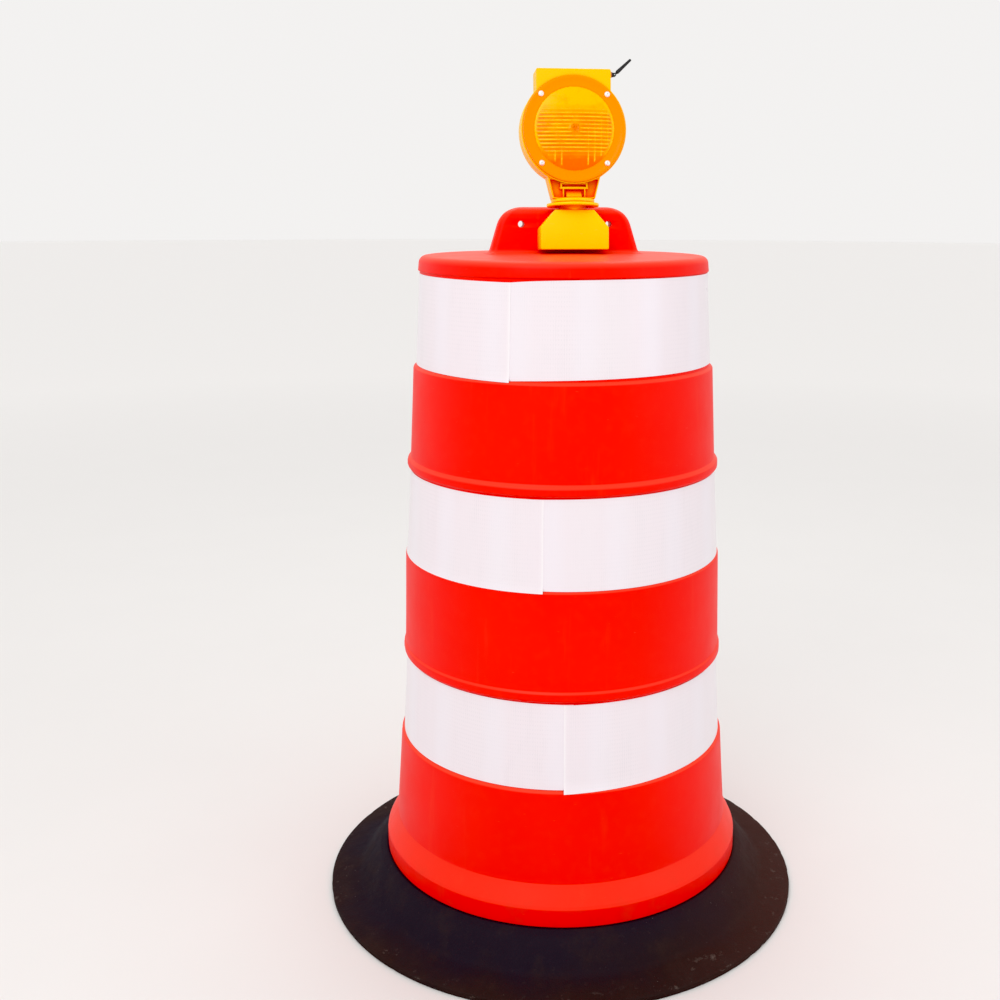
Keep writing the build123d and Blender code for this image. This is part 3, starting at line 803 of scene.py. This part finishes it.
def drum_side():
    """Outer line of the drum from the crown's middle to the skirt's foot."""
    corners = [(0, CROWN_HEIGHT, 0), *drum_corners(0), (SKIRT_RADIUS - WALL, SKIRT_HEIGHT, 0)]
    return rounded(corners, 6, closed=False)


OUTER_LINE = drum_side()


def drum_radius(height):
    """Outer radius of the drum's side at a height."""
    for (r0, z0), (r1, z1) in zip(OUTER_LINE, OUTER_LINE[1:]):
        if z1 <= height <= z0 and z0 > z1 and r0 > CROWN_LIMIT:
            return r0 + (r1 - r0) * (z0 - height) / (z0 - z1)
    return SKIRT_RADIUS


def make_drum(material):
    """Thin-walled drum, open below, with a faint mould line down each side."""
    inner = drum_corners(WALL)
    inner[0] = (CAP_RADIUS - WALL, CAP_EDGE_HEIGHT - WALL, CAP_ROUNDING - WALL)
    inner[-1] = (SKIRT_RADIUS - WALL, SKIRT_HEIGHT, 0)
    inside = rounded([*reversed(inner), (0, CROWN_HEIGHT - WALL, 0)], 4, closed=False)
    line = filled(OUTER_LINE, 14) + filled(inside, 40)[1:]

    def drawn(angle, radius, height):
        if radius < CROWN_LIMIT:
            return 0.0
        place = Vector((sin(angle) * 2.2, cos(angle) * 2.2, height / 160))
        swell = noise.noise(place) * 0.45
        off = min(abs(angle - pi / 2), abs(angle - 3 * pi / 2)) * radius
        return swell + 0.45 * max(0.0, 1 - off / 2.4)

    shell = lathe(line, "drum_shell", DRUM_SEGMENTS, wobble=drawn)
    return finish_piece(shell, "drum_shell", "drum", material, ["drum_body"], 40)


GRIP_BASE = 1187.0
GRIP_HALF_WIDTH = 128.5
GRIP_HALF_DEPTH = 22.0
GRIP_CORNER = 41.0
GRIP_SIDE_SLOPE = radians(16.7)
GRIP_EDGE = 12.0
GRIP_LEAN = tan(radians(6.0))
GRIP_SINK = 3
GRIP_FOOT = 7.0
FOOT_STEPS = 6
SIDE_STEPS = 11
EDGE_STEPS = 8
TETHER_HOLE_RADIUS = 5.5
TETHER_HOLE_REACH = 75
TETHER_HOLE_HEIGHT = 1233.0
BOLT_BORE_RADIUS = 6.75
CUP_RADIUS = 18
CUP_SEAT = 55.5


def grip_half_width(height):
    """Half the grip's length at a height."""
    corner_height = GRIP_TOP - GRIP_CORNER
    rise = corner_height - GRIP_BASE
    centre = GRIP_HALF_WIDTH - (GRIP_CORNER + rise * sin(GRIP_SIDE_SLOPE)) / cos(GRIP_SIDE_SLOPE)
    if height < corner_height + GRIP_CORNER * sin(GRIP_SIDE_SLOPE):
        return GRIP_HALF_WIDTH - (height - GRIP_BASE) * tan(GRIP_SIDE_SLOPE)
    return centre + sqrt(max(0.0, GRIP_CORNER ** 2 - (height - corner_height) ** 2))


def grip_slice(height, shrink, flare):
    """Rounded rectangle of the grip at a height."""
    width = grip_half_width(height) - shrink * 0.35 + flare
    depth = GRIP_HALF_DEPTH - (height - GRIP_BASE) * GRIP_LEAN - shrink + flare
    rounding = min(GRIP_EDGE, depth * 0.96)
    corners = [
        (-width, -depth, rounding),
        (width, -depth, rounding),
        (width, depth, rounding),
        (-width, depth, rounding),
    ]
    return rounded(corners, 8)


def make_grip(material):
    """Moulded grip, swept up from the crown, with its three holes."""
    foot_low = GRIP_BASE - GRIP_SINK
    foot_high = foot_low + GRIP_FOOT
    side_high = GRIP_TOP - GRIP_EDGE
    slices = []
    for step in range(FOOT_STEPS + 1):
        angle = pi / 2 * step / FOOT_STEPS
        slices.append((foot_low + GRIP_FOOT * (1 - cos(angle)), 0.0, GRIP_FOOT * (1 - sin(angle))))
    for step in range(1, SIDE_STEPS + 1):
        slices.append((foot_high + (side_high - foot_high) * step / SIDE_STEPS, 0.0, 0.0))
    for step in range(1, EDGE_STEPS + 1):
        angle = pi / 2 * step / EDGE_STEPS
        slices.append((side_high + GRIP_EDGE * sin(angle), GRIP_EDGE * (1 - cos(angle)), 0.0))
    verts = []
    for height, shrink, flare in slices:
        verts += [(x, y, height) for x, y in grip_slice(height, shrink, flare)]
    grip = make("grip", verts, tube_faces(len(slices), len(verts) // len(slices)))
    holes = []
    for x in (-TETHER_HOLE_REACH, TETHER_HOLE_REACH):
        hole = circle(TETHER_HOLE_RADIUS, (x, TETHER_HOLE_HEIGHT), 40)
        holes.append(prism(hole, -60, 60, along="y"))
    holes.append(prism(circle(BOLT_BORE_RADIUS, count=40), 0, 80, "y", LAMP))
    holes.append(prism(circle(CUP_RADIUS, count=64), CUP_SEAT, 80, "y", LAMP))
    combine(grip, holes)
    soften(grip, 0.9, 2, 55)
    return finish_piece(grip, "drum_grip", "drum", material, sharp=38)


def make_wrap(name, material):
    """One strip of sheeting: it sags a little to each side of its lapped seam."""
    strip = WRAPS[name]
    radius = drum_radius(strip.top - WRAP_HEIGHT / 2)
    lap = WRAP_LAP / radius
    span = 2 * pi + lap
    verts, arcs, rises, edges = [], [], [], []
    for stand in WRAP_FACES:
        for i in range(WRAP_COLUMNS + 1):
            travelled = span * i / WRAP_COLUMNS
            to_end = max(0.0, span - travelled)
            drop = []
            for edge in (0, 1):
                near_start = exp(-max(0.0, travelled - lap) / radians(strip.start_fade[edge]))
                near_end = exp(-to_end / radians(strip.end_fade[edge]))
                sag = strip.under[edge] * near_start * (travelled < pi)
                drop.append(sag + strip.over[edge] * near_end)
            lift = 0.55 * max(0.0, min(1.0, 1 - (to_end - lap) * radius / 10))
            ripple = 0.12 * noise.noise(Vector((travelled * 6, strip.top, 0)))
            angle = radians(strip.seam) + strip.way * (travelled - lap)
            for j in range(WRAP_ROWS + 1):
                share = j / WRAP_ROWS
                height = strip.top - WRAP_MARGIN - (WRAP_HEIGHT - 2 * WRAP_MARGIN) * share
                height -= drop[0] + (drop[1] - drop[0]) * share
                r = drum_radius(height) + stand + lift + ripple
                verts.append((r * sin(angle), -r * cos(angle), height))
                arcs.append(travelled * radius * MM)
                rises.append(height * MM)
                edges.append(max(0.0, 1 - to_end * radius / 5))
    faces = []
    sheet_size = (WRAP_COLUMNS + 1) * (WRAP_ROWS + 1)

    def spot(side, i, j):
        return side * sheet_size + i * (WRAP_ROWS + 1) + j

    def quad(first, second):
        return (spot(0, *first), spot(0, *second), spot(1, *second), spot(1, *first))

    for i in range(WRAP_COLUMNS):
        for j in range(WRAP_ROWS):
            corners = [(i, j), (i + 1, j), (i + 1, j + 1), (i, j + 1)]
            faces.append(tuple(spot(0, *corner) for corner in corners))
            faces.append(tuple(spot(1, *corner) for corner in reversed(corners)))
        for j in (0, WRAP_ROWS):
            faces.append(quad((i, j), (i + 1, j)))
    for j in range(WRAP_ROWS):
        for i in (0, WRAP_COLUMNS):
            faces.append(quad((i, j), (i, j + 1)))
    wrap = make(f"sheeting_{name}", verts, faces)
    for label, values in (("arc", arcs), ("rise", rises), ("edge", edges)):
        store_values(wrap, label, values)
    node = f"reflective_sheet_{name}"
    return finish_piece(wrap, f"sheeting_{name}", "drum", material, [node], 30)


# ---------------------------------------- lamp bracket
CASE_DEPTH = 46.0
CASE_TOP = 28.0
CASE_BOTTOM = -36.0
SHELL_WALL = 2.5
FLANGE_BOTTOM = 34.5
FLANGE_TOP = 39.0
FLANGE_RADIUS = 44
FLANGE_BACK = 22.2
BOSS_RADIUS = 22.4
BORE_RADIUS = 16


def case_outline(inset):
    """Front of the bracket box with its cut corners."""
    half = 57.5 - inset
    top_half = 32.5 - inset / 2
    side_top = CASE_TOP - 28.5 - inset / 2
    return rounded(
        [
            (-half, CASE_BOTTOM + inset, 2.5),
            (half, CASE_BOTTOM + inset, 2.5),
            (half, side_top, 3),
            (top_half, CASE_TOP - inset, 3),
            (-top_half, CASE_TOP - inset, 3),
            (-half, side_top, 3),
        ],
        4,
    )


def make_bracket(material):
    """Bracket box with its boss and round flange, hollow inside."""
    front = -CASE_DEPTH / 2
    back = CASE_DEPTH / 2 - 3
    case = prism(case_outline(0), front, back, along="y")
    for vertex in case.data.vertices:
        if vertex.co.z < (CASE_BOTTOM + 6) * MM and vertex.co.y < 0:
            vertex.co.z -= 1.4 * MM
    case.data.transform(LAMP)
    soften(case, 1.3, 3, 60)
    cavity = prism(case_outline(SHELL_WALL), front + SHELL_WALL, back + 1, "y", LAMP)
    combine(case, [cavity])
    boss = prism(circle(BOSS_RADIUS), CASE_TOP - 0.5, FLANGE_BOTTOM + 0.5, matrix=LAMP)
    flange = prism(circle(FLANGE_RADIUS, count=160), FLANGE_BOTTOM, FLANGE_TOP, matrix=LAMP)
    trim = prism(rectangle(-60, 60, FLANGE_BACK, 60), 20, 60, matrix=LAMP)
    combine(flange, [trim])
    soften(flange, 1.1, 3, 50)
    combine(case, [boss, flange], "UNION")
    bore = prism(circle(BORE_RADIUS), 20, 50, matrix=LAMP)
    combine(case, [bore])
    node = "bracket_front_shell"
    return finish_piece(case, "bracket_moulding", "drum", material, [node])


# ---------------------------------------- lamp head
LENS_HEIGHT = 157.0
RIM_RADIUS = 87.5
LENS_RADIUS = 85.0
DOME_RADIUS = 66.5
HEAD_HALF_DEPTH = 22.0
BOX_HALF_WIDTH = 62.0
BOX_TOP = 253.0
NECK_HALF_DEPTH = 18.0
NECK_HALF_WIDTH = 35.5
NECK_FOOT = 46
NECK_TOP = 84
RECESS_FOOT = 48.2
RECESS_TOP = 77
DETAIL_BACK = -3.5
BAR_FRONT = -16.0
BAR_BOW = 3.0
AERIAL_HOLE_RADIUS = 3.05
BUTTON_HOLE_RADIUS = 5.3
SCREW_REACH = 54.75
SCREW_SPOTS = [(SCREW_REACH * x, LENS_HEIGHT + SCREW_REACH * y) for x in (-1, 1) for y in (-1, 1)]


def head_outline(inset):
    """Round case with the square box on its top."""
    radius = RIM_RADIUS - inset
    half = BOX_HALF_WIDTH - inset
    shoulder = asin(half / radius)
    top = BOX_TOP - inset
    square = [(-half, LENS_HEIGHT, 0), (-half, top, 3), (half, top, 3), (half, LENS_HEIGHT, 0)]
    points = rounded(square, 4)[1:-1]
    steps = 150
    for step in range(steps + 1):
        angle = shoulder + (2 * pi - 2 * shoulder) * step / steps
        points.append((radius * sin(angle), LENS_HEIGHT + radius * cos(angle)))
    return points


def neck_outline(inset, foot, top):
    """Flaring neck between two heights."""
    flare = 9.5 / 38
    low = NECK_HALF_WIDTH - inset + flare * (foot - NECK_FOOT)
    high = NECK_HALF_WIDTH - inset + flare * (top - NECK_FOOT)
    return [(-low, foot), (low, foot), (high, top), (-high, top)]


def bowed_bar(half_width, height, thickness, matrix):
    """Bar across the neck whose front bows outward."""
    steps = 16
    plan = []
    for step in range(steps + 1):
        x = -half_width + 2 * half_width * step / steps
        plan.append((x, BAR_FRONT - BAR_BOW * (1 - (x / half_width) ** 2)))
    plan += [(half_width, DETAIL_BACK), (-half_width, DETAIL_BACK)]
    bar = prism(plan, height - thickness / 2, height + thickness / 2, matrix=matrix)
    return soften(bar, 0.7, 2, 40)


def make_head_shell(matrix):
    """One half of the head, not yet cut for the aerial or button, and its inner details."""
    depth = -HEAD_HALF_DEPTH
    shell = prism(head_outline(0), depth, 0, "y", matrix)
    soften(shell, 1.4, 3, 50)
    neck = prism(neck_outline(0, NECK_FOOT, NECK_TOP), -NECK_HALF_DEPTH, -0.1, "y", matrix)
    soften(neck, 1.2, 3, 50)
    combine(shell, [neck], "UNION")
    cavity = prism(head_outline(SHELL_WALL), depth + SHELL_WALL, 1, "y", matrix)
    window = prism(circle(DOME_RADIUS + 1, (0, LENS_HEIGHT), 160), depth - 5, 1, "y", matrix)
    hollow = neck_outline(2.2, RECESS_FOOT, RECESS_TOP)
    recess = prism(hollow, -NECK_HALF_DEPTH - 3, -8, "y", matrix)
    panel = prism(rectangle(-55.2, 55.2, -18.2, 18.2), 240, 260, matrix=matrix)
    seat = prism(rectangle(-57.2, 57.2, -20.2, 20.2), BOX_TOP - 1.5, 260, matrix=matrix)
    combine(shell, [cavity, window, recess, panel, seat])
    # bridge, uprights, ribs and tongue that stand in the neck's recess, then the screw bosses
    details = [bowed_bar(23, 71.5, 4.4, matrix), bowed_bar(24, 63.4, 3.6, matrix)]
    for x in (-21.5, 21.5):
        upright = rectangle(x - 1.2, x + 1.2, 62, 73)
        details.append(prism(upright, -17, DETAIL_BACK, "y", matrix))
    for x in (-18, 18):
        rib = prism(rectangle(x - 1, x + 1, 47, 63), -17.2, DETAIL_BACK, "y", matrix)
        details.append(soften(rib, 0.5, 2, 40))
    tongue = [(DETAIL_BACK, 47), (-17.6, 47), (-17.6, 51), (-9, 61), (DETAIL_BACK, 61)]
    details.append(soften(prism(tongue, -13, 13, "x", matrix), 1.2, 3, 30))
    for x, z in SCREW_SPOTS:
        details.append(prism(circle(5, (x, z), 32), -HEAD_HALF_DEPTH + 0.3, -1.5, "y", matrix))
    return shell, details


def make_head(material):
    """Both halves of the head case."""
    shell, details = make_head_shell(LAMP)
    hole = prism(circle(AERIAL_HOLE_RADIUS, (-10, 246), 32), 50, 70, "x", LAMP)
    combine(shell, [hole])
    join(shell, details)
    body, slot = "lamp_head", "yellow_case"
    finish_piece(shell, "head_case_front", body, material, ["head_front_shell"])
    rear, details = make_head_shell(LAMP @ FLIP)
    hole = prism(circle(BUTTON_HOLE_RADIUS, (-50, 243), 40), 10, 30, "y", LAMP)
    combine(rear, [hole])
    join(rear, details)
    tidy_normals(rear)
    finish_piece(rear, "head_case_rear", body, material, ["head_rear_shell"])


LENS_BACK = 22.8
LENS_FRONT = 26.3
LENS_SEGMENTS = 384
DOME_RINGS = 74
DOME_BULGE = 8.0
ROW_PITCH = 6.1
COLUMN_PITCH = 11.0
EYE_RADIUS = 7


def clamped(value):
    """Value kept between 0 and 1."""
    return max(0.0, min(1.0, value))


def lens_pattern(x, z, radius):
    """Row ridges, row grooves, column ridges, centre ring and row band at a place on the dome."""
    fade = clamped((DOME_RADIUS - 2.5 - radius) / 3)
    band = clamped((40 - z) / 20) * clamped((z + 50) / 18)
    row = 0.5 + 0.5 * cos(2 * pi * z / ROW_PITCH)
    column = 0.5 + 0.5 * cos(2 * pi * x / COLUMN_PITCH)
    calm = 1 - exp(-(radius / 9) ** 2)
    ridge = fade * calm * (0.12 + 0.88 * band) * row ** 3
    groove = fade * calm * band * (1 - row) ** 3
    outer = clamped((abs(x) - 11) / 12) * clamped(0.4 + x / 40 - z / 30)
    ribs = fade * outer * (1 - 0.5 * band) * column ** 4
    ring = exp(-((radius - EYE_RADIUS) / 2.2) ** 2)
    return ridge, groove, ribs, ring, fade * band


def lens_relief(x, z, radius):
    """Height of the optic ribs at a place on the dome."""
    ridge, _, ribs, ring, _ = lens_pattern(x, z, radius)
    return 0.75 * ridge + 0.50 * ribs + 0.8 * ring


def make_lens(side, matrix, material):
    """Amber lens: flat screw ring round a shallow ribbed dome, hollow behind."""
    name = f"{side}_lens_moulding"
    verts = []

    def add_ring(radius, depth, relief=None):
        for i in range(LENS_SEGMENTS):
            angle = 2 * pi * i / LENS_SEGMENTS
            x, z = radius * sin(angle), radius * cos(angle)
            rise = relief(x, z, radius) if relief else 0
            verts.append((x, -(depth + rise), LENS_HEIGHT + z))

    def crown(radius):
        if radius >= DOME_RADIUS:
            return 0
        return DOME_BULGE * (1 - (radius / DOME_RADIUS) ** 2) ** 0.8

    radii = [DOME_RADIUS * (k + 0.5) / DOME_RINGS for k in range(DOME_RINGS)]
    for radius in radii:
        add_ring(radius, LENS_FRONT + crown(radius), lens_relief)
    for radius, rise in (
        (DOME_RADIUS, -0.5),
        (DOME_RADIUS + 0.8, -0.5),
        (DOME_RADIUS + 1.4, 0),
        (LENS_RADIUS - 5.5, 0),
        (LENS_RADIUS - 5.0, 0.25),
        (LENS_RADIUS - 1.2, 0.2),
        (LENS_RADIUS - 0.35, 0),
        (LENS_RADIUS, -0.9),
    ):
        add_ring(radius, LENS_FRONT + rise)
    add_ring(LENS_RADIUS, LENS_BACK)
    for radius in [DOME_RADIUS, *reversed(radii[::4])]:
        add_ring(radius, LENS_BACK + crown(radius))
    lens = make(name, verts, tube_faces(len(verts) // LENS_SEGMENTS, LENS_SEGMENTS))

    def from_middle(co):
        return sqrt(co.x ** 2 + (co.z - LENS_HEIGHT) ** 2)

    def pattern(co):
        return lens_pattern(co.x, co.z - LENS_HEIGHT, from_middle(co))

    def drop(co):
        return 0.5 + (LENS_HEIGHT - co.z) / (2 * LENS_RADIUS) - 0.18 * (co.x / 60) ** 2

    # drop, groove and ridge also place the lens material's painted shade in the dome's lower part and in the
    # grooves, and its painted highlights on the ridges
    for label, function in (
        ("drop", drop),
        ("dome", lambda co: float(from_middle(co) < DOME_RADIUS)),
        ("eye", lambda co: exp(-(from_middle(co) / EYE_RADIUS) ** 2)),
        ("groove", lambda co: pattern(co)[1]),
        ("band", lambda co: pattern(co)[4]),
        ("ridge", lambda co: max(pattern(co)[0], pattern(co)[2])),
    ):
        store_values(lens, label, [function(v.co / MM) for v in lens.data.vertices])
    lens.data.transform(matrix)
    tidy_normals(lens)
    return finish_piece(lens, name, "lamp_head", material, [f"{side}_lens"], 35)


def make_lens_screws(side, matrix, material):
    """Four pan-head screws with crossed slots."""
    seat = LENS_FRONT
    head = rounded(
        [
            (0, seat, 0),
            (4.5, seat, 0),
            (4.5, seat + 1.2, 0.6),
            (2.6, seat + 2.5, 1.5),
            (0, seat + 2.7, 0),
        ],
        steps=4,
        closed=False,
    )
    upright = Matrix.Rotation(radians(90), 4, "X")
    screws = []
    for index, (x, z) in enumerate(SCREW_SPOTS):
        place = matrix @ Matrix.Translation(Vector((x, 0, z)) * MM)
        screw = lathe(head, "screw", 48, matrix=place @ upright)
        turn = Matrix.Rotation(radians(20 + 37 * index), 4, "Y")
        slots = []
        for quarter in (0, 90):
            spin = place @ turn @ Matrix.Rotation(radians(quarter), 4, "Y")
            slot = rectangle(-1.9, 1.9, -0.4, 0.4)
            slots.append(prism(slot, -seat - 4, -seat - 1.3, "y", spin))
        combine(screw, slots)
        shaft = prism(circle(1.5, count=24), -seat - 0.5, -10, "y", place)
        screws.append(join(screw, [shaft]))
    made = join(screws[0], screws[1:])
    tidy_normals(made)
    name = f"{side}_lens_screw_set"
    return finish_piece(made, name, "lamp_head", material, [f"{side}_lens_screws"])


# ---------------------------------------- build everything
ORANGE = orange_plastic()
SHEETING = white_sheeting()
RUBBER = black_rubber()
YELLOW = yellow_plastic("yellow_plastic", 0.57)
# paler copy of the case yellow: painted light that brightens the bracket and swivel collar, which catch less light
PAINTED_LIGHT_YELLOW = yellow_plastic("painted_light_yellow_plastic", 0.70)
LENS = amber_lens()
STEEL = metal("plated_steel", (0.72, 0.72, 0.70), 0.28, 260)
BRIGHT_ZINC = metal("bright_zinc", (0.97, 0.96, 0.94), 0.50, 260, 0.9)
BRASS = metal("red_brass", (0.55, 0.22, 0.10), 0.40, 300)
BLACK = moulded("black_plastic", (0.018, 0.018, 0.020), 0.45, (0.05, 0.05, 0.055))
SOFT_BLACK = moulded("soft_black", (0.012, 0.012, 0.014), 0.62, (0.04, 0.04, 0.045))
NYLON = moulded("natural_nylon", (0.78, 0.77, 0.70), 0.5, (0.86, 0.85, 0.80))
WHITE = moulded("white_plastic", (0.82, 0.70, 0.50), 0.45, (0.90, 0.80, 0.62))
BOARD = circuit_board()
LED = resin("led_resin", (1.0, 0.40, 0.02), (0.9, 0.2, 0.0))
CELL = moulded("cell_wrap", (0.05, 0.20, 0.07), 0.35, (0.10, 0.30, 0.12))
SOLAR = solar_cells()
COVER = clear_cover()
SLOT_FINISH = {
    "rubber": RUBBER,
    "orange_drum": ORANGE,
    "sheeting": SHEETING,
    "yellow_case": YELLOW,
    "amber_lens": LENS,
    "steel": STEEL,
    "nylon": NYLON,
    "seal": SOFT_BLACK,
    "white_inner": WHITE,
    "circuit": BOARD,
    "led": LED,
    "cell_wrap": CELL,
    "black_plastic": BLACK,
    "black_rubber": SOFT_BLACK,
    "solar_cell": SOLAR,
    "clear_window": COVER,
    "brass": BRASS,
}


def finish_cad_nodes():
    """Give each carried-over CAD node the finish of its slot."""
    for entry in frame["record"]["subparts"]:
        node = frame["nodes"][entry["node"]]
        node.data.materials.clear()
        node.data.materials.append(SLOT_FINISH[entry["material_slot"]])
    collar = frame["nodes"]["swivel_collar"]
    # the swivel collar takes the paler copy, whose extra brightness is painted light
    collar.data.materials[0] = PAINTED_LIGHT_YELLOW


FLOOR_RADIUS = 40000


def add_floor():
    """Wide, pale floor."""
    outline = circle(FLOOR_RADIUS)
    floor = make("floor", [(x, y, 0) for x, y in outline], [tuple(range(len(outline)))])
    floor.data.materials.append(floor_finish())


add_camera()
add_world(0.90)
add_area_light("key", (-1.6, -2.6, 3.2), (0, 0, 0.8), 2.4, 34, (1.0, 0.98, 0.96))
add_area_light("fill", (2.6, -1.8, 1.8), (0, 0, 0.7), 2.2, 9, (0.96, 0.98, 1.0))
add_area_light("top", (0.3, 1.4, 3.4), (0, 0, 1.0), 2.0, 20)
grade = bpy.context.scene.view_settings
grade.view_transform = "Standard"
grade.use_curve_mapping = True
grade.curve_mapping.black_level = (0.018, 0.018, 0.018)

finish_cad_nodes()
make_rubber_base(RUBBER)
make_drum(ORANGE)
make_grip(ORANGE)
for wrap_name in WRAPS:
    make_wrap(wrap_name, SHEETING)
# the bracket takes the paler copy, whose extra brightness is painted light
make_bracket(PAINTED_LIGHT_YELLOW)
make_head(YELLOW)
for lens_side, lens_matrix in (("front", LAMP), ("rear", LAMP @ FLIP)):
    make_lens(lens_side, lens_matrix, LENS)
    make_lens_screws(lens_side, lens_matrix, BRIGHT_ZINC)
add_floor()
